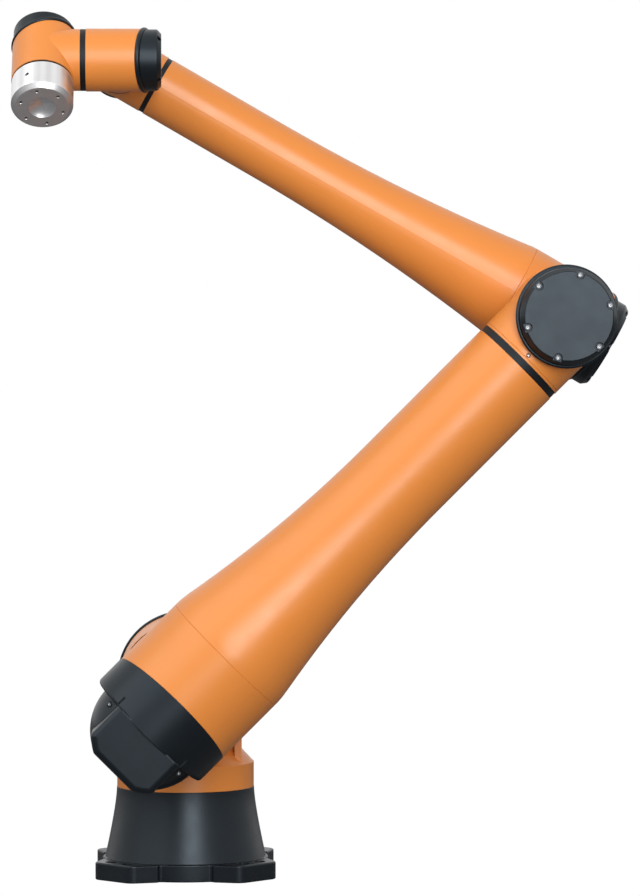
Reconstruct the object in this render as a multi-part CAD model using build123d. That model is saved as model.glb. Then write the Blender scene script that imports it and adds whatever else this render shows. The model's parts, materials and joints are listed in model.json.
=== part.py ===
from build123d import *
import os
from collections import namedtuple
from math import cos, radians, sin, sqrt, tan

# Six-axis industrial robot arm, painted housings with black caps, in millimetres.
# Origin at the centre of the foot's flat underside, +Z up along the first axis.
# At rest the upper arm leans 45 degrees towards +X and lies on the -Y side of the base.

# Foot and pedestal
foot_radius = 124.0
foot_height = 26.0
lobe_root = 41.0
lobe_near = 83.0
lobe_far = 136.2
lobe_round = 18.0
lobe_root_round = 5.0
foot_edge = 2.5
foot_chamfer = 1.0
bolt_near = 85.0
bolt_far = 110.0
bolt_hole_radius = 5.5
bolt_recess_radius = 9.0
bolt_recess_depth = 4.0
pedestal_height = 130.5
pedestal_top_radius = 103.0
pedestal_foot_radius = 120.5
pedestal_top_slope = 0.02
pedestal_foot_slope = 0.22

# Waist, turning on the first axis
waist_radius = 102.6
waist_height = 38.0
waist_chamfer = 18.0
waist_edge = 1.5
neck_radius = 84.5
neck_blend = 12.0
rib_inner = 73.0
rib_outer = 83.4
rib_front = 55.0
rib_foot = 6.0

# Places of the joints
shoulder_height = 286.5
upper_arm_offset = 220.0
upper_arm_length = 776.5
upper_arm_angle = 45.0
forearm_offset = 157.0
forearm_length = 745.0
forearm_angle = 150.0
wrist_1_offset = 119.0
wrist_1_angle = 180.0
wrist_2_offset = 109.3
tool_offset = 100.5
tool_tilt = 44.0

# Running and sealing rings between two bodies
running_gap = 0.3
seal_width = 7.8
seal_inset = 0.8
output_stand = 2.0
seam_chamfer = 0.5

# Shoulder module, on the second axis
shoulder_radius = 100.0
shoulder_cap_start = 84.0
shoulder_cap_end = 142.0
shoulder_cap_proud = 3.5
shoulder_cap_inset = 2.0
shoulder_cap_edge = 9.0
shoulder_cap_bevel = 10.0
shoulder_recess = 7.5

# Upper arm
upper_big_radius = 102.7
upper_port_radius = 88.5
upper_collar_radius = 98.6
upper_collar_width = 7.5
port_root = 58.0
upper_seam = 82.0
upper_tube_radius = 70.8
upper_flare_length = 359.0
upper_round_length = 26.0
upper_ring_start = 87.8
upper_ring_width = 11.0
elbow_radius = 71.8
elbow_blend = 1.4
elbow_cap_start = 57.0
elbow_cap_end = 98.0
elbow_cap_proud = 3.2
elbow_cap_inset = 2.3
elbow_cap_edge = 5.5
elbow_cap_bevel = 10.0
elbow_recess = 6.5
collar_groove_place = 83.6
collar_groove_width = 1.0
collar_groove_depth = 0.7
port_screw_place = 79.5
port_screw_radius = 2.7
port_recess_radius = 3.5
port_recess_depth = 2.0

# End cover of the upper arm: a band, a nose on the near side and a dome
cover_start = 28.5
cover_slant = 11.3
cover_radius = 103.2
band_end = 76.0
band_edge = 6.0
dome_centre = 72.7
dome_radius = 87.2
dome_end = 147.2
nose_radius = 84.0
nose_front = 97.0
nose_half_width = 61.5
nose_lift = 3.0
nose_soft = 2.0
nose_edge = 10.0
nose_corner = 9.0
nose_back = 12.0
slit_width = 2.6
slit_length = 17.0
slit_depth = 7.0
slit_inset = 0.8
dome_screw_side = 71.0
dome_screw_drop = 11.5
dome_screw_radius = 3.2
dome_recess_radius = 4.4
dome_recess_depth = 3.0

# Forearm
forearm_big_radius = 74.0
forearm_port_radius = 71.0
forearm_blend = 1.2
forearm_seam = 72.9
forearm_tube_radius = 45.3
forearm_flare_length = 417.0
forearm_round_length = 8.0
forearm_ring_start = 57.5
forearm_ring_width = 7.5
forearm_cap_start = 54.5
forearm_cap_end = 91.5
forearm_cap_proud = 0.3
forearm_cap_inset = 6.5
forearm_cap_edge = 6.0
forearm_cap_bevel = 8.0
forearm_recess = 6.5
forearm_end_radius = 46.0

# Wrist modules
wrist_radius = 45.6
wrist_port_radius = 44.8
wrist_blend = 2.0
wrist_cap_start = 34.4
wrist_cap_end = 61.8
wrist_cap_proud = 1.9
wrist_cap_inset = 1.0
wrist_cap_edge = 6.5
wrist_cap_bevel = 6.0
wrist_recess = 3.6

# Caps in general
cap_slant = 14.0
lip_width = 6.8
lip_round = 2.8
cap_groove = 0.3
cap_screw_count = 6
cap_screw_phase = 30.0
forearm_cap_phase = 0.0
wrist_screw_count = 4
wrist_screw_phase = 45.0
cap_face_round = 2.0
cap_rim_round = 4.0
recess_floor_share = 0.85
recess_inset_share = 0.4
head_share = 0.68
head_height_share = 0.85
head_round_share = 0.18
socket_share = 0.5
socket_depth_share = 0.5

# Tool flange
flange_radius = 45.0
flange_ring_width = 3.6
flange_ring_inset = 1.5
flange_edge = 6.3
flange_bolt_circle = 63.0
flange_bolt_count = 6
flange_hole_radius = 2.1
flange_hole_chamfer = 0.5
flange_hole_depth = 12.0
flange_hole_phase = 42.0
flange_bore_radius = 20.0
flange_dish_radius = 28.0
side_screw_radius = 3.0
side_screw_depth = 3.0
side_screw_gap = 0.3
side_screw_length = 2.0
side_screw_angles = (-62.0, 13.0, 61.0)

# A cutter much larger than any piece
large = 600.0


# Directions and frames of the links

def in_plane(angle):
    """A direction in the upright plane of the arm, counted from +X towards +Z."""
    return Vector(cos(radians(angle)), 0, sin(radians(angle)))


near = Vector(0, -1, 0)
far = Vector(0, 1, 0)
down = Vector(0, 0, -1)

shoulder_centre = Vector(0, 0, shoulder_height)
upper_direction = in_plane(upper_arm_angle)
upper_start = shoulder_centre + near * upper_arm_offset
upper_end = upper_start + upper_direction * upper_arm_length
forearm_direction = in_plane(forearm_angle)
forearm_start = upper_end + far * forearm_offset
forearm_end = forearm_start + forearm_direction * forearm_length
wrist_1_centre = forearm_end + near * wrist_1_offset
wrist_1_direction = in_plane(wrist_1_angle)
wrist_2_centre = wrist_1_centre + wrist_1_direction * wrist_2_offset
tool_direction = Vector(0, -sin(radians(tool_tilt)), -cos(radians(tool_tilt)))


def frame(centre, output, port):
    """Local frame of a module: +Z leaves through its output, +X through its port."""
    return Plane(origin=centre, x_dir=port, z_dir=output)


shoulder_frame = frame(shoulder_centre, near, down)
upper_frame = frame(upper_start, upper_direction, far)
elbow_frame = frame(upper_end, far, upper_direction * -1)
forearm_frame = frame(forearm_start, forearm_direction, near)
wrist_0_frame = frame(forearm_end, near, forearm_direction * -1)
wrist_1_frame = frame(wrist_1_centre, wrist_1_direction, far)
wrist_2_frame = frame(wrist_2_centre, tool_direction, wrist_1_direction * -1)


def place(shape, module):
    """Moves a shape made in a module's own frame to its place on the arm."""
    return module.location * shape


def write(shape, name):
    """Writes one node, named and checked to be a closed solid."""
    shape.label = name
    export_step(shape, os.path.join("parts", name + ".step"))


# Pieces that several modules share

def slanted_plane(start, slant):
    """The sloping end plane of a housing, further out on the side of the port."""
    slope = tan(radians(slant))
    return Plane(origin=(0, 0, -start), x_dir=(1, 0, -slope), z_dir=(-slope, 0, -1))


def beyond(plane):
    """Everything on the far side of a plane."""
    return plane.location * Box(large, large, large, align=(Align.CENTER, Align.CENTER, Align.MIN))


def before(plane):
    """Everything on the near side of a plane."""
    return plane.location * Box(large, large, large, align=(Align.CENTER, Align.CENTER, Align.MAX))


def rod(radius, low, high):
    """A cylinder on the local Z axis between two heights."""
    return Pos(0, 0, low) * Cylinder(radius, high - low, align=(Align.CENTER, Align.CENTER, Align.MIN))


def side_rod(radius, length):
    """A cylinder on the local X axis, from the centre outwards."""
    return Rot(0, 90, 0) * rod(radius, 0, length)


def circle_at(shape, height):
    """The edges of a shape that lie level at a height."""
    return shape.edges().filter_by_position(Axis.Z, height - 0.01, height + 0.01)


def blended(body, blend):
    """Rounds the curves along which two round bodies meet."""
    plain = (GeomType.LINE, GeomType.CIRCLE)
    return fillet([edge for edge in body.edges() if edge.geom_type not in plain], blend)


def tee_housing(radius, output, cap_start, port_radius, port_length, blend):
    """A module housing: a drum with a port on its side and a sloping cap end."""
    drum = rod(radius, -2 * radius, output)
    drum = chamfer(circle_at(drum, output), seam_chamfer)
    body = blended(drum + side_rod(port_radius, port_length), blend)
    return body - beyond(slanted_plane(cap_start, cap_slant))


def cap_lip(cap):
    """The bead that closes the housing's sloping end."""
    near_plane = slanted_plane(cap.start, cap_slant)
    far_plane = slanted_plane(cap.start + lip_width, cap_slant)
    lip = rod(cap.radius + cap.proud, -2 * cap.radius, 0) - before(near_plane) - beyond(far_plane)
    rim = lip.edges().filter_by(GeomType.ELLIPSE)
    return fillet(rim, lip_round)


def screw_places(cap):
    """Places of the cap screws near the rim of the cap's face, on the floors of their recesses."""
    turn = 360.0 / cap.count
    radius = cap.radius - cap.inset - cap.edge - cap.recess * recess_inset_share
    floor = cap.edge * recess_floor_share - cap.end
    return [Rot(0, 0, cap.phase + turn * i) * Pos(radius, 0, floor) for i in range(cap.count)]


def cap_drum(cap):
    """The drum of a cap, with a bevelled rim and a recess open to the rim for each screw."""
    radius = cap.radius - cap.inset
    shoulder = cap.bevel - cap.end
    outline = Polyline((0, 0), (0, -cap.end), (radius - cap.edge, -cap.end), (radius, shoulder), (radius, 0),
                       close=True)
    drum = revolve(make_face(Plane.XZ * outline), Axis.Z)
    drum = fillet(circle_at(drum, -cap.end), cap_face_round)
    drum = fillet(circle_at(drum, shoulder), cap_rim_round)
    drum = drum - before(slanted_plane(cap.start + lip_width + cap_groove, cap_slant))
    pocket = rod(cap.recess, -large, 0)
    pocket += Box(large, 2 * cap.recess, large, align=(Align.MIN, Align.CENTER, Align.MAX))
    for spot in screw_places(cap):
        drum = drum - spot * pocket
    return drum


def socket_screw(radius):
    """A socket head that stands on z = 0 and looks towards -Z."""
    height = radius * head_height_share
    screw = rod(radius, -height, 0)
    screw = fillet(circle_at(screw, -height), radius * head_round_share)
    socket = extrude(RegularPolygon(radius * socket_share, 6), -height)
    return screw - Pos(0, 0, -height * (1 - socket_depth_share)) * socket


def cap_screws(cap):
    """Socket head screws standing in the recesses of a cap."""
    screw = socket_screw(cap.recess * head_share)
    return Compound([spot * screw for spot in screw_places(cap)])


def flared_profile(small, big, seam, flare, bend, end):
    """Outline of a flared tube, from its seam at the big end to its plain end."""
    slope = 2 * (big - small) / flare
    bend_radius = big - slope * bend / 2
    lines = Line((0, seam), (big - seam_chamfer, seam))
    lines += Line((big - seam_chamfer, seam), (big, seam + seam_chamfer))
    lines += Bezier((big, seam + seam_chamfer), (big, seam + bend / 2), (bend_radius, seam + bend))
    lines += Bezier((bend_radius, seam + bend), (small, seam + bend + (bend_radius - small) / slope),
                    (small, seam + flare))
    lines += Line((small, seam + flare), (small, end))
    lines += Line((small, end), (0, end))
    lines += Line((0, end), (0, seam))
    return lines


def flared_tube(small, big, seam, flare, bend, end):
    """A tube that flares smoothly into its big end."""
    face = make_face(Plane.XZ * flared_profile(small, big, seam, flare, bend, end))
    return revolve(face, Axis.Z)


# Base

def foot_outline():
    """The round foot with its four ears, their roots and tips rounded."""
    points = [(0, 0), (lobe_root, -foot_radius), (lobe_near, -lobe_far), (lobe_far, -lobe_near),
              (foot_radius, -lobe_root)]
    ear = make_face(Polyline(*points, close=True))
    tips = ear.vertices().filter_by(lambda v: v.Y < -lobe_near + 1 and v.X > lobe_near - 1)
    ear = fillet(tips, lobe_round)
    outline = Rot(0, 0, -45) * Circle(foot_radius)
    for quarter in range(4):
        outline += Rot(0, 0, 90 * quarter) * ear
    roots = outline.vertices().filter_by(lambda v: abs(sqrt(v.X ** 2 + v.Y ** 2) - foot_radius) < 1e-3)
    return fillet(roots, lobe_root_round)


def column():
    """The column of the pedestal, which flares towards the foot."""
    drop = pedestal_height - foot_height
    bend = pedestal_foot_radius - pedestal_top_radius - pedestal_top_slope * drop
    height = foot_height + bend / (pedestal_foot_slope - pedestal_top_slope)
    corner = (pedestal_foot_radius - pedestal_foot_slope * (height - foot_height), height)
    outline = Line((0, 0), (pedestal_foot_radius, 0))
    outline += Line((pedestal_foot_radius, 0), (pedestal_foot_radius, foot_height))
    outline += Bezier((pedestal_foot_radius, foot_height), corner, (pedestal_top_radius, pedestal_height))
    outline += Line((pedestal_top_radius, pedestal_height), (0, pedestal_height))
    outline += Line((0, pedestal_height), (0, 0))
    return revolve(make_face(Plane.XZ * outline), Axis.Z)


def pedestal():
    """Cast foot with four ears and a flaring column."""
    foot = extrude(foot_outline(), foot_height)
    foot = fillet(circle_at(foot, foot_height), foot_edge)
    foot = chamfer(circle_at(foot, 0), foot_chamfer)
    foot += column()
    hole = rod(bolt_hole_radius, -1, foot_height + 1)
    hole += rod(bolt_recess_radius, foot_height - bolt_recess_depth, foot_height + 1)
    for quarter in range(4):
        for spot in ((bolt_near, -bolt_far), (bolt_far, -bolt_near)):
            foot -= Rot(0, 0, 90 * quarter) * Pos(spot[0], spot[1], 0) * hole
    return foot


# Shoulder

def shoulder_housing():
    """Waist ring, neck and the drum of the second axis."""
    output = upper_port_start() - seal_width - running_gap
    base_end = shoulder_height - pedestal_height - running_gap
    waist_end = base_end - waist_height
    drum = tee_housing(shoulder_radius, output, shoulder_cap_start, neck_radius, waist_end, neck_blend)
    waist = Pos(waist_end, 0, 0) * side_rod(waist_radius, waist_height)
    waist = fillet(waist.edges().filter_by_position(Axis.X, waist_end - 0.01, waist_end + 0.01), waist_edge)
    slope = Cone(neck_radius, waist_radius - waist_edge, waist_chamfer,
                 align=(Align.CENTER, Align.CENTER, Align.MAX))
    rib = Pos(0, rib_inner, 0) * Box(waist_end + rib_foot, rib_outer - rib_inner, rib_front,
                                     align=(Align.MIN, Align.MIN, Align.MIN))
    body = drum + waist + Pos(waist_end, 0, 0) * Rot(0, 90, 0) * slope
    return body + rib + mirror(rib, Plane.XZ)


def upper_port_start():
    """Distance of the upper arm's port face from the first axis."""
    return upper_arm_offset - upper_big_radius - upper_collar_width - output_stand


# Upper arm

def upper_lower_housing():
    """Big end of the upper arm with its port to the shoulder."""
    drum = rod(upper_big_radius, -2 * upper_big_radius, upper_seam)
    drum = chamfer(circle_at(drum, upper_seam), seam_chamfer)
    return drum - beyond(slanted_plane(cover_start, cover_slant)) + upper_port(0)


def upper_port(clearance):
    """The port that carries the upper arm, with its collar."""
    length = upper_arm_offset - upper_port_start()
    port = side_rod(upper_port_radius + clearance, length) - side_rod(2 * large, port_root)
    collar_start = length - upper_collar_width
    collar = Pos(collar_start, 0, 0) * side_rod(upper_collar_radius, upper_collar_width)
    return port + collar


def end_band():
    """Band of the end cover with the nose on its near side."""
    band = rod(cover_radius, -band_end, 0)
    under_nose = band & Box(2 * cover_radius, 2 * nose_half_width, 2 * band_end,
                            align=(Align.MAX, Align.CENTER, Align.CENTER))
    band = fillet(circle_at(band, -band_end), band_edge) + under_nose
    band = band - before(slanted_plane(cover_start + cap_groove, cover_slant))
    band = band + nose() - upper_port(cap_groove)
    lateral = nose_half_width + slit_width / 2 + slit_inset
    side = sqrt(cover_radius ** 2 - lateral ** 2)
    slit = Pos(-side, 0, -band_end) * Box(2 * slit_depth, slit_width, 2 * slit_length)
    return band - Pos(0, lateral, 0) * slit - Pos(0, -lateral, 0) * slit


def nose():
    """The raised tongue that runs over the dome."""
    top = nose_lift - band_end
    disc = Pos(0, -dome_centre) * Circle(nose_radius)
    strip = Pos(0, top) * Rectangle(2 * nose_half_width, dome_end + top, align=(Align.CENTER, Align.MAX))
    outline = disc & strip
    corners = outline.vertices().filter_by(lambda v: v.Y < top - 1)
    outline = fillet(corners, nose_corner)
    tongue = extrude(Plane.YZ * outline, -nose_front) - Box(2 * nose_back, large, large)
    rim = tongue.edges().filter_by_position(Axis.X, -nose_front - 0.01, -nose_front + 0.01)
    tongue = fillet(rim.filter_by(lambda e: e.center().Z < top - 1), nose_edge)
    crest = tongue.edges().filter_by_position(Axis.Z, top - 0.01, top + 0.01)
    return fillet(crest.filter_by(lambda e: e.center().X < nose_edge - nose_front), nose_soft)


def end_dome():
    """The dome under the nose, with a recess on each side of the nose for a screw."""
    ball = Pos(0, 0, -dome_centre) * Sphere(dome_radius)
    dome = (ball & rod(large / 4, -dome_end, -band_end)) - nose() - upper_port(cap_groove)
    pocket = rod(dome_recess_radius, -dome_radius, 0)
    for spot in dome_screw_places():
        dome = dome - spot * pocket
    return dome


def dome_screw_places():
    """Places of the two screws beside the nose, on the floors of their recesses."""
    reach = sqrt(dome_radius ** 2 - dome_screw_side ** 2 - dome_screw_drop ** 2)
    floor = dome_recess_depth - reach
    return [Pos(floor, side * dome_screw_side, -dome_centre - dome_screw_drop) * Rot(0, 90, 0)
            for side in (1, -1)]


def end_screws():
    """The cover's two screws, one on each side of the nose."""
    return Compound([spot * socket_screw(dome_screw_radius) for spot in dome_screw_places()])


def upper_tube():
    """The flared tube of the upper arm."""
    end = upper_arm_length - upper_ring_start - upper_ring_width
    tube = flared_tube(upper_tube_radius, upper_big_radius, upper_seam, upper_flare_length,
                       upper_round_length, end)
    return tube - upper_port(0)


def elbow_housing():
    """Elbow drum, with a port that ends at the black ring and a small recess on its near side."""
    output = elbow_output()
    body = tee_housing(elbow_radius, output, elbow_cap_start, upper_tube_radius, upper_ring_start, elbow_blend)
    floor = side_rod(upper_tube_radius - collar_groove_depth, large)
    groove = side_rod(large, collar_groove_width) - floor
    body = body - Pos(collar_groove_place, 0, 0) * groove
    return body - port_screw_place_on_elbow() * rod(port_recess_radius, -upper_tube_radius, 0)


def port_screw_place_on_elbow():
    """Place of the small screw on the elbow's port, on the floor of its recess."""
    return Pos(port_screw_place, 0, port_recess_depth - upper_tube_radius)


def elbow_output():
    """Distance of the elbow's output face from the upper arm's plane."""
    return forearm_offset - forearm_big_radius - output_stand - seal_width - running_gap


# Forearm

def forearm_lower_housing():
    """Big end of the forearm with its port to the elbow."""
    return tee_housing(forearm_big_radius, forearm_seam, forearm_cap_start, forearm_port_radius,
                       forearm_big_radius + output_stand, forearm_blend)


def forearm_tube():
    """The flared tube of the forearm."""
    end = forearm_length - forearm_ring_start - forearm_ring_width
    return flared_tube(forearm_tube_radius, forearm_big_radius, forearm_seam, forearm_flare_length,
                       forearm_round_length, end)


def wrist_0_housing():
    """Drum at the far end of the forearm, with a port that ends at the black ring."""
    return tee_housing(forearm_end_radius, forearm_end_radius + output_stand, wrist_cap_start,
                       forearm_tube_radius, forearm_ring_start, wrist_blend)


# Wrist

def wrist_1_housing():
    """First wrist module."""
    port = wrist_1_offset - forearm_end_radius - output_stand - seal_width - running_gap
    return tee_housing(wrist_radius, wrist_radius + output_stand, wrist_cap_start, wrist_port_radius, port,
                       wrist_blend)


def wrist_2_housing():
    """Second wrist module, which carries the tool flange."""
    port = wrist_2_offset - wrist_radius - output_stand - seal_width - running_gap
    return tee_housing(wrist_radius, wrist_radius + output_stand, wrist_cap_start, wrist_port_radius, port,
                       wrist_blend)


def seal(radius, start, width):
    """A sealing ring on the local Z axis."""
    return rod(radius - seal_inset, start, start + width)


# Tool flange

def flange_start():
    """Distance of the flange's back from the centre of the last wrist module."""
    return wrist_radius + output_stand + flange_ring_width + running_gap


def side_screw_height():
    """Height of the set screws, half way up the flange's plain side."""
    return (flange_start() + tool_offset - flange_edge) / 2


def tool_flange():
    """Turning flange with a bolt circle and a dished centre."""
    body = rod(flange_radius, flange_start(), tool_offset)
    body = chamfer(circle_at(body, tool_offset), flange_edge)
    dish_centre = tool_offset + sqrt(flange_dish_radius ** 2 - flange_bore_radius ** 2)
    body -= Pos(0, 0, dish_centre) * Sphere(flange_dish_radius)
    hole = rod(flange_hole_radius, tool_offset - flange_hole_depth, tool_offset + 1)
    mouth = Cone(flange_hole_radius, flange_hole_radius + flange_hole_chamfer, flange_hole_chamfer,
                 align=(Align.CENTER, Align.CENTER, Align.MAX))
    hole += Pos(0, 0, tool_offset) * mouth
    for i in range(flange_bolt_count):
        turn = Rot(0, 0, flange_hole_phase + 360.0 / flange_bolt_count * i)
        body -= turn * Pos(flange_bolt_circle / 2, 0, 0) * hole
    pocket = Pos(0, 0, side_screw_height()) * side_rod(side_screw_radius, flange_radius + 1)
    pocket -= rod(flange_radius - side_screw_depth, 0, tool_offset)
    for angle in side_screw_angles:
        body -= Rot(0, 0, 180 + angle) * pocket
    return body


def side_screws():
    """Set screws in the side of the tool flange."""
    base = flange_radius - side_screw_depth
    screw = side_rod(side_screw_radius - side_screw_gap, base + side_screw_length)
    screw -= rod(base, -large / 2, large / 2)
    return Compound([Rot(0, 0, 180 + angle) * Pos(0, 0, side_screw_height()) * screw
                     for angle in side_screw_angles])


# Caps of the modules

Cap = namedtuple("Cap", "radius proud inset start end edge bevel recess count phase")

shoulder_cap = Cap(shoulder_radius, shoulder_cap_proud, shoulder_cap_inset, shoulder_cap_start,
                   shoulder_cap_end, shoulder_cap_edge, shoulder_cap_bevel, shoulder_recess,
                   cap_screw_count, cap_screw_phase)
elbow_cap = Cap(elbow_radius, elbow_cap_proud, elbow_cap_inset, elbow_cap_start, elbow_cap_end,
                elbow_cap_edge, elbow_cap_bevel, elbow_recess, cap_screw_count, cap_screw_phase)
forearm_cap = Cap(forearm_big_radius, forearm_cap_proud, forearm_cap_inset, forearm_cap_start,
                  forearm_cap_end, forearm_cap_edge, forearm_cap_bevel, forearm_recess,
                  cap_screw_count, forearm_cap_phase)
wrist_cap = Cap(wrist_radius, wrist_cap_proud, wrist_cap_inset, wrist_cap_start, wrist_cap_end,
                wrist_cap_edge, wrist_cap_bevel, wrist_recess, wrist_screw_count, wrist_screw_phase)


def write_cap(name, module, cap):
    """Writes the lip, the drum and the screws of one cap."""
    write(place(cap_lip(cap), module), name + "_cap_lip")
    write(place(cap_drum(cap), module), name + "_cap")
    write(place(cap_screws(cap), module), name + "_cap_screws")


os.makedirs("parts", exist_ok=True)

write(pedestal(), "base_pedestal")

write(place(shoulder_housing(), shoulder_frame), "shoulder_housing")
write_cap("shoulder", shoulder_frame, shoulder_cap)
shoulder_seal = seal(shoulder_radius, upper_port_start() - seal_width - running_gap, seal_width)
write(place(shoulder_seal, shoulder_frame), "shoulder_seal_ring")

write(place(upper_lower_housing(), upper_frame), "upper_arm_lower_housing")
write(place(end_band(), upper_frame), "upper_arm_end_band")
write(place(end_dome(), upper_frame), "upper_arm_end_dome")
write(place(end_screws(), upper_frame), "upper_arm_end_screws")
write(place(upper_tube(), upper_frame), "upper_arm_tube")
ring_high = upper_arm_length - upper_ring_start
upper_ring = seal(upper_tube_radius, ring_high - upper_ring_width, upper_ring_width)
write(place(upper_ring, upper_frame), "upper_arm_ring")
write(place(elbow_housing(), elbow_frame), "elbow_housing")
port_screw = port_screw_place_on_elbow() * socket_screw(port_screw_radius)
write(place(port_screw, elbow_frame), "elbow_port_screw")
write_cap("elbow", elbow_frame, elbow_cap)
write(place(seal(elbow_radius, elbow_output(), seal_width), elbow_frame), "elbow_seal_ring")

write(place(forearm_lower_housing(), forearm_frame), "forearm_lower_housing")
write_cap("forearm", forearm_frame, forearm_cap)
write(place(forearm_tube(), forearm_frame), "forearm_tube")
ring_end = forearm_length - forearm_ring_start
forearm_ring = seal(forearm_tube_radius, ring_end - forearm_ring_width, forearm_ring_width)
write(place(forearm_ring, forearm_frame), "forearm_ring")
write(place(wrist_0_housing(), wrist_0_frame), "forearm_wrist_housing")
write_cap("forearm_wrist", wrist_0_frame, wrist_cap._replace(radius=forearm_end_radius))
wrist_0_seal = seal(forearm_end_radius, forearm_end_radius + output_stand, seal_width)
write(place(wrist_0_seal, wrist_0_frame), "forearm_wrist_seal_ring")

write(place(wrist_1_housing(), wrist_1_frame), "wrist_1_housing")
write_cap("wrist_1", wrist_1_frame, wrist_cap)
write(place(seal(wrist_radius, wrist_radius + output_stand, seal_width), wrist_1_frame), "wrist_1_seal_ring")

write(place(wrist_2_housing(), wrist_2_frame), "wrist_2_housing")
write_cap("wrist_2", wrist_2_frame, wrist_cap)
flange_ring = rod(wrist_radius - flange_ring_inset, wrist_radius + output_stand,
                  wrist_radius + output_stand + flange_ring_width)
write(place(flange_ring, wrist_2_frame), "wrist_2_seal_ring")

write(place(tool_flange(), wrist_2_frame), "tool_flange")
write(place(side_screws(), wrist_2_frame), "tool_flange_screws")
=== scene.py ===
"""Looks of the industrial robot arm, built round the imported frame."""
import json
import math

import bpy
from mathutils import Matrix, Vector

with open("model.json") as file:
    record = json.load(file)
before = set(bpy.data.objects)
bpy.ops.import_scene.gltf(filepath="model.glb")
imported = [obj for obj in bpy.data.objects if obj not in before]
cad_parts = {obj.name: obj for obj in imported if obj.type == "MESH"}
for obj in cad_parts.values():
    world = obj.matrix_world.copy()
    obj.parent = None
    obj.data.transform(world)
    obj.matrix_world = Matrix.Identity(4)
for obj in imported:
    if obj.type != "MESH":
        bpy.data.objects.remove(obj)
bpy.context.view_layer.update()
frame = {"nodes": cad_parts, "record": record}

# Colours, linear
ORANGE = (0.755, 0.248, 0.043, 1.0)
BLACK_COVER = (0.0050, 0.0070, 0.0090, 1.0)
BLACK_CAST = (0.0045, 0.0060, 0.0078, 1.0)
BLUE_GLOSS = (0.74, 0.88, 1.0, 1.0)
BLACK_SEAL = (0.006, 0.006, 0.0065, 1.0)
SCREW_STEEL = (0.055, 0.058, 0.062, 1.0)
# Lighter steel painted into the screw sockets as a glint
PAINTED_SOCKET_GLINT = (0.42, 0.43, 0.45, 1.0)
ALUMINIUM = (0.80, 0.80, 0.81, 1.0)
WHITE = (1.0, 1.0, 1.0, 1.0)

# Surfaces, lengths in metres
NOISE_MIDDLE = (0.3, 0.7)
NOISE_WHOLE = (0.0, 1.0)
EDGE_SAMPLES = 6
SOCKET_SAMPLES = 8
SOCKET_WIDTH = 0.0025
SOCKET_OPENNESS = (0.36, 0.6)
SCREW_EDGE = 0.0003
SCREW_GRAIN = 0.00001
FLANGE_EDGE = 0.0006
FLANGE_RINGS = 0.000006
FLANGE_SIDE_STARTS = 0.0064

# Camera, angles in degrees
CAMERA_PLACE = (0.0, -6.6, 0.8365)
CAMERA_PITCH = 1.721
CAMERA_YAW = 1.755
CAMERA_LENS = 176.8
SENSOR_WIDTH = 36.0
CLIP_END = 100.0

# World and floor
SEEN_KINDS = ("Is Camera Ray", "Is Glossy Ray", "Is Transmission Ray")
WORLD_LIGHT = 0.32
FLOOR_SIZE = 80.0
FLOOR_PLACE = (0.0, 0.0, -0.0005)
FLOOR_COLOUR = (0.25, 0.25, 0.255, 1.0)
FLOOR_GLOW_SHARE = 0.975
FLOOR_GLOW_STRENGTH = 1.03

# Lamps: place, width and height in metres, power in watts
LIT_POINT = (0.15, -0.1, 0.65)
KEY_PLACE = (-3.6, -2.6, 4.2)
KEY_SIZE = (6.0, 6.0)
KEY_POWER = 168.0
FRONT_PLACE = (1.2, -6.2, 2.5)
FRONT_SIZE = (2.4, 4.6)
FRONT_POWER = 325.0


# Materials

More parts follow.
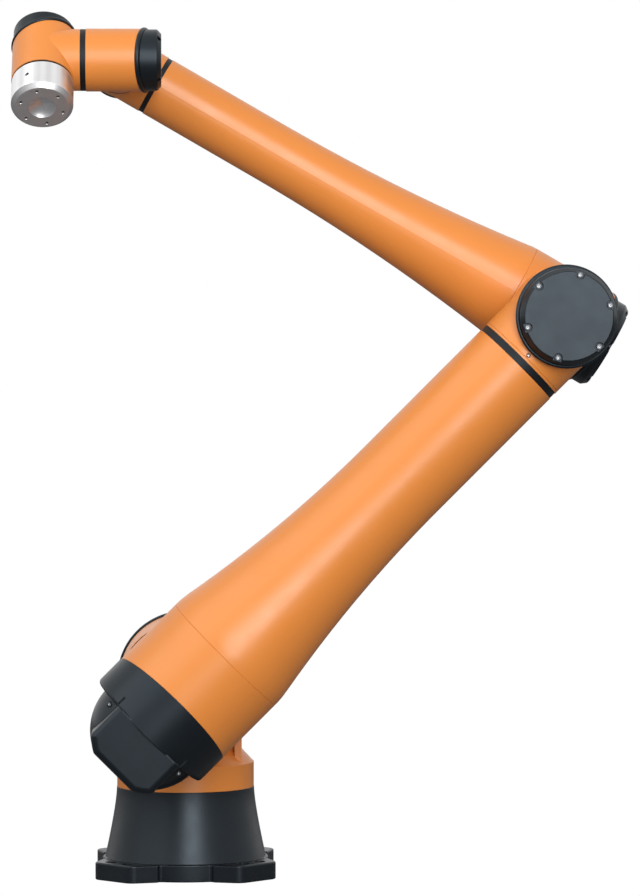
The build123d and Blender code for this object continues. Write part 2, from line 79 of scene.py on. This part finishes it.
class Nodes:
    """A short way to write one material's nodes."""

    def __init__(self, name):
        self.material = bpy.data.materials.new(name)
        self.material.use_nodes = True
        self.tree = self.material.node_tree
        self.shader = self.tree.nodes["Principled BSDF"]
        self.coordinates = self.tree.nodes.new("ShaderNodeTexCoord").outputs["Object"]

    def set(self, **values):
        """Sets the shader's own sockets."""
        for key, value in values.items():
            self.shader.inputs[key.replace("_", " ")].default_value = value

    def join(self, source, target):
        """Links one socket to another."""
        self.tree.links.new(source, target)

    def noise(self, scale, detail=2.0, roughness=0.5, vector=None):
        """A noise with features of about 1 / scale, over the object's own coordinates in metres."""
        node = self.tree.nodes.new("ShaderNodeTexNoise")
        node.inputs["Scale"].default_value = scale
        node.inputs["Detail"].default_value = detail
        node.inputs["Roughness"].default_value = roughness
        self.join(vector or self.coordinates, node.inputs["Vector"])
        return node.outputs["Fac"]

    def ramp(self, value, low, high, span=NOISE_WHOLE):
        """Maps a value at the ends of a span to low and high."""
        node = self.tree.nodes.new("ShaderNodeMapRange")
        node.inputs["From Min"].default_value = span[0]
        node.inputs["From Max"].default_value = span[1]
        node.inputs["To Min"].default_value = low
        node.inputs["To Max"].default_value = high
        self.join(value, node.inputs["Value"])
        return node.outputs["Result"]

    def maths(self, operation, first, second):
        """One value from two, each a number or a socket."""
        node = self.tree.nodes.new("ShaderNodeMath")
        node.operation = operation
        for socket, value in zip(node.inputs, (first, second)):
            if isinstance(value, float):
                socket.default_value = value
            else:
                self.join(value, socket)
        return node.outputs[0]

    def blend(self, factor, dark, light):
        """A colour between two, by a factor. Each colour is a tuple or a socket."""
        node = self.tree.nodes.new("ShaderNodeMix")
        node.data_type = "RGBA"
        for key, colour in (("A", dark), ("B", light)):
            if isinstance(colour, tuple):
                node.inputs[key].default_value = colour
            else:
                self.join(colour, node.inputs[key])
        self.join(factor, node.inputs["Factor"])
        return node.outputs["Result"]

    def tint(self, factor, dark, light):
        """The shader's base colour between two, by a factor."""
        self.join(self.blend(factor, dark, light), self.shader.inputs["Base Color"])

    def roughen(self, value, low, high, span=NOISE_WHOLE):
        """The shader's roughness between low and high, by a value."""
        self.join(self.ramp(value, low, high, span), self.shader.inputs["Roughness"])

    def bump(self, height, distance, under):
        """Bump of a real height in metres, over the normal of what lies under it."""
        node = self.tree.nodes.new("ShaderNodeBump")
        node.inputs["Distance"].default_value = distance
        node.inputs["Strength"].default_value = 1.0
        self.join(height, node.inputs["Height"])
        self.join(under, node.inputs["Normal"])
        self.join(node.outputs["Normal"], self.shader.inputs["Normal"])
        return node.outputs["Normal"]

    def rounded_edges(self, radius):
        """The normal with small soft edges, in place of machined sharp ones."""
        node = self.tree.nodes.new("ShaderNodeBevel")
        node.samples = EDGE_SAMPLES
        node.inputs["Radius"].default_value = radius
        return node.outputs["Normal"]


def shade(colour, factor):
    """A colour made lighter or darker."""
    return tuple(min(1.0, c * factor) for c in colour[:3]) + (1.0,)


def painted(name, colour, roughness, peel, gloss, gloss_colour, edge):
    """Powder coat: slight orange peel, and a breath of unevenness in colour and gloss."""
    m = Nodes(name)
    m.set(IOR=1.5, Specular_IOR_Level=gloss, Specular_Tint=gloss_colour)
    m.tint(m.noise(scale=7.0, detail=4.0), shade(colour, 0.965), shade(colour, 1.03))
    smears = m.noise(scale=24.0, detail=5.0, roughness=0.62)
    m.roughen(smears, roughness - 0.035, roughness + 0.05, NOISE_MIDDLE)
    broad = m.bump(m.noise(scale=170.0), peel, under=m.rounded_edges(edge))
    m.bump(m.noise(scale=900.0, detail=1.0), 0.3 * peel, under=broad)
    return m.material


def moulded(name, colour, roughness, grain, gloss, edge):
    """Moulded cover with a fine spark-eroded grain and faint rubbed patches."""
    m = Nodes(name)
    m.set(IOR=1.48, Specular_IOR_Level=gloss, Specular_Tint=BLUE_GLOSS)
    m.tint(m.noise(scale=14.0, detail=4.0), shade(colour, 0.94), shade(colour, 1.07))
    rubbed = m.noise(scale=34.0, detail=6.0, roughness=0.65)
    m.roughen(rubbed, roughness - 0.025, roughness + 0.035, NOISE_MIDDLE)
    coarse = m.noise(scale=420.0, detail=3.0, roughness=0.6)
    broad = m.bump(coarse, grain, under=m.rounded_edges(edge))
    m.bump(m.noise(scale=1500.0, roughness=0.6), 0.6 * grain, under=broad)
    return m.material


def steel(name, head, socket, roughness):
    """Blackened screw heads, with a painted glint: lighter steel in the socket, where occlusion is
    deepest.
    """
    m = Nodes(name)
    m.set(Metallic=1.0)
    openness = m.tree.nodes.new("ShaderNodeAmbientOcclusion")
    openness.samples = SOCKET_SAMPLES
    openness.inputs["Distance"].default_value = SOCKET_WIDTH
    # Painted glint: the socket colour goes where occlusion is deepest, inside the screw socket
    socket_glint_mask = m.ramp(openness.outputs["AO"], 1.0, 0.0, SOCKET_OPENNESS)
    grain = m.noise(scale=300.0, detail=4.0)
    m.tint(socket_glint_mask, m.blend(grain, shade(head, 0.8), shade(head, 1.15)),
           m.blend(grain, shade(socket, 0.85), shade(socket, 1.1)))
    m.roughen(m.noise(scale=700.0, detail=4.0, roughness=0.7), roughness - 0.06, roughness + 0.08)
    m.bump(m.noise(scale=2600.0), SCREW_GRAIN, under=m.rounded_edges(SCREW_EDGE))
    return m.material


def turned(name, colour, centre, axis):
    """Turned aluminium: fine rings about the axis on the face, and soft bands of painted reflection
    round the side.
    """
    m = Nodes(name)
    m.set(Metallic=1.0)
    place = m.tree.nodes.new("ShaderNodeMapping")
    place.vector_type = "TEXTURE"
    place.inputs["Location"].default_value = centre
    place.inputs["Rotation"].default_value = Vector(axis).to_track_quat("Z", "Y").to_euler()
    m.join(m.coordinates, place.inputs["Vector"])
    split = m.tree.nodes.new("ShaderNodeSeparateXYZ")
    m.join(place.outputs[0], split.inputs[0])
    across, up, along = (split.outputs[key] for key in "XYZ")
    square = m.maths("ADD", m.maths("MULTIPLY", across, across), m.maths("MULTIPLY", up, up))
    radius = m.maths("POWER", square, 0.5)

    rings = m.tree.nodes.new("ShaderNodeCombineXYZ")
    m.join(radius, rings.inputs["X"])
    m.join(along, rings.inputs["Y"])
    marks = m.noise(scale=2600.0, detail=3.0, roughness=0.65, vector=rings.outputs[0])
    broad = m.noise(scale=500.0, vector=rings.outputs[0])

    spokes = m.tree.nodes.new("ShaderNodeCombineXYZ")
    m.join(m.maths("DIVIDE", across, radius), spokes.inputs["X"])
    m.join(m.maths("DIVIDE", up, radius), spokes.inputs["Y"])
    # Painted reflection: lighter and darker bands round the flange's side, by angle about the axis
    reflection_streaks = m.ramp(m.noise(scale=3.2, vector=spokes.outputs[0]), 0.0, 1.0, NOISE_MIDDLE)

    on_side = m.maths("LESS_THAN", along, -FLANGE_SIDE_STARTS)
    face = m.blend(marks, shade(colour, 0.84), shade(colour, 0.96))
    # The side colour carries the painted reflection bands
    side = m.blend(reflection_streaks, shade(colour, 0.74), shade(colour, 1.1))
    m.tint(on_side, face, side)
    m.roughen(broad, 0.31, 0.42, NOISE_MIDDLE)
    m.bump(marks, FLANGE_RINGS, under=m.rounded_edges(FLANGE_EDGE))
    return m.material


def materials():
    """One material for each slot of the record."""
    tool_joint = next(joint for joint in frame["record"]["behaviour"]["joints"]
                      if joint["name"] == "tool_turn")
    return {
        "orange_paint": painted("orange_paint", ORANGE, roughness=0.35, peel=0.000045, gloss=0.52,
                                gloss_colour=WHITE, edge=0.0009),
        "black_cover": moulded("black_cover", BLACK_COVER, roughness=0.34, grain=0.000014,
                               gloss=0.34, edge=0.0008),
        "black_casting": painted("black_casting", BLACK_CAST, roughness=0.34, peel=0.00006,
                                 gloss=0.33, gloss_colour=BLUE_GLOSS, edge=0.0012),
        "black_seal": moulded("black_seal", BLACK_SEAL, roughness=0.5, grain=0.00003, gloss=0.3,
                              edge=0.0004),
        # The second steel colour is a painted glint in the screw sockets
        "screw_steel": steel("screw_steel", SCREW_STEEL, PAINTED_SOCKET_GLINT, roughness=0.32),
        "flange_aluminium": turned("flange_aluminium", ALUMINIUM, tool_joint["pos_m"],
                                   tool_joint["axis"]),
    }


def dress_nodes():
    """Gives every node the material of its slot."""
    by_slot = materials()
    slots = {part["node"]: part["material_slot"] for part in frame["record"]["subparts"]}
    for name, piece in frame["nodes"].items():
        piece.data.materials.clear()
        piece.data.materials.append(by_slot[slots[name]])


# Floor, lights and camera

def white_to_eye(tree, kinds):
    """A value of 1 for the kinds of ray that should see plain white, and 0 for the rest."""
    path = tree.nodes.new("ShaderNodeLightPath")
    value = path.outputs[kinds[0]]
    for kind in kinds[1:]:
        either = tree.nodes.new("ShaderNodeMath")
        either.operation = "MAXIMUM"
        tree.links.new(value, either.inputs[0])
        tree.links.new(path.outputs[kind], either.inputs[1])
        value = either.outputs[0]
    return value


def pale_world():
    """White behind the object and in its reflections, and weaker as a light."""
    world = bpy.data.worlds.new("studio")
    bpy.context.scene.world = world
    world.use_nodes = True
    tree = world.node_tree
    background = tree.nodes["Background"]
    seen = white_to_eye(tree, SEEN_KINDS)
    strength = tree.nodes.new("ShaderNodeMapRange")
    strength.inputs["To Min"].default_value = WORLD_LIGHT
    strength.inputs["To Max"].default_value = 1.0
    tree.links.new(seen, strength.inputs["Value"])
    tree.links.new(strength.outputs["Result"], background.inputs["Strength"])
    background.inputs["Color"].default_value = WHITE


def floor():
    """A plain pale floor that keeps a breath of the object's shadow."""
    bpy.ops.mesh.primitive_plane_add(size=FLOOR_SIZE, location=FLOOR_PLACE)
    plane = bpy.context.object
    plane.name = "floor"
    material = bpy.data.materials.new("floor")
    material.use_nodes = True
    tree = material.node_tree
    tree.nodes.remove(tree.nodes["Principled BSDF"])
    output = tree.nodes["Material Output"]
    matt = tree.nodes.new("ShaderNodeBsdfDiffuse")
    matt.inputs["Color"].default_value = FLOOR_COLOUR
    glow = tree.nodes.new("ShaderNodeEmission")
    glow.inputs["Color"].default_value = WHITE
    glow.inputs["Strength"].default_value = FLOOR_GLOW_STRENGTH
    share = tree.nodes.new("ShaderNodeMath")
    share.operation = "MULTIPLY"
    share.inputs[1].default_value = FLOOR_GLOW_SHARE
    tree.links.new(white_to_eye(tree, ("Is Camera Ray",)), share.inputs[0])
    mix = tree.nodes.new("ShaderNodeMixShader")
    tree.links.new(share.outputs[0], mix.inputs["Fac"])
    tree.links.new(matt.outputs[0], mix.inputs[1])
    tree.links.new(glow.outputs[0], mix.inputs[2])
    tree.links.new(mix.outputs[0], output.inputs["Surface"])
    plane.data.materials.append(material)


def softbox(name, place, size, power):
    """An area light that looks at the middle of the object."""
    data = bpy.data.lights.new(name, "AREA")
    data.shape = "RECTANGLE"
    data.size, data.size_y = size
    data.energy = power
    lamp = bpy.data.objects.new(name, data)
    lamp.location = place
    sight = Vector(LIT_POINT) - Vector(place)
    lamp.rotation_euler = sight.to_track_quat("-Z", "Y").to_euler()
    bpy.context.scene.collection.objects.link(lamp)


def lights():
    """A wide key from above and the left and a tall soft front light from the right."""
    softbox("key", KEY_PLACE, KEY_SIZE, KEY_POWER)
    softbox("front", FRONT_PLACE, FRONT_SIZE, FRONT_POWER)


def camera():
    """The photograph's viewpoint: far off, nearly level."""
    data = bpy.data.cameras.new("camera")
    data.lens = CAMERA_LENS
    data.sensor_width = SENSOR_WIDTH
    data.clip_end = CLIP_END
    eye = bpy.data.objects.new("camera", data)
    eye.location = CAMERA_PLACE
    eye.rotation_euler = (math.radians(90.0 - CAMERA_PITCH), 0.0, -math.radians(CAMERA_YAW))
    bpy.context.scene.collection.objects.link(eye)
    bpy.context.scene.camera = eye


camera()
dress_nodes()
pale_world()
floor()
lights()
bpy.context.scene.view_settings.view_transform = "Standard"
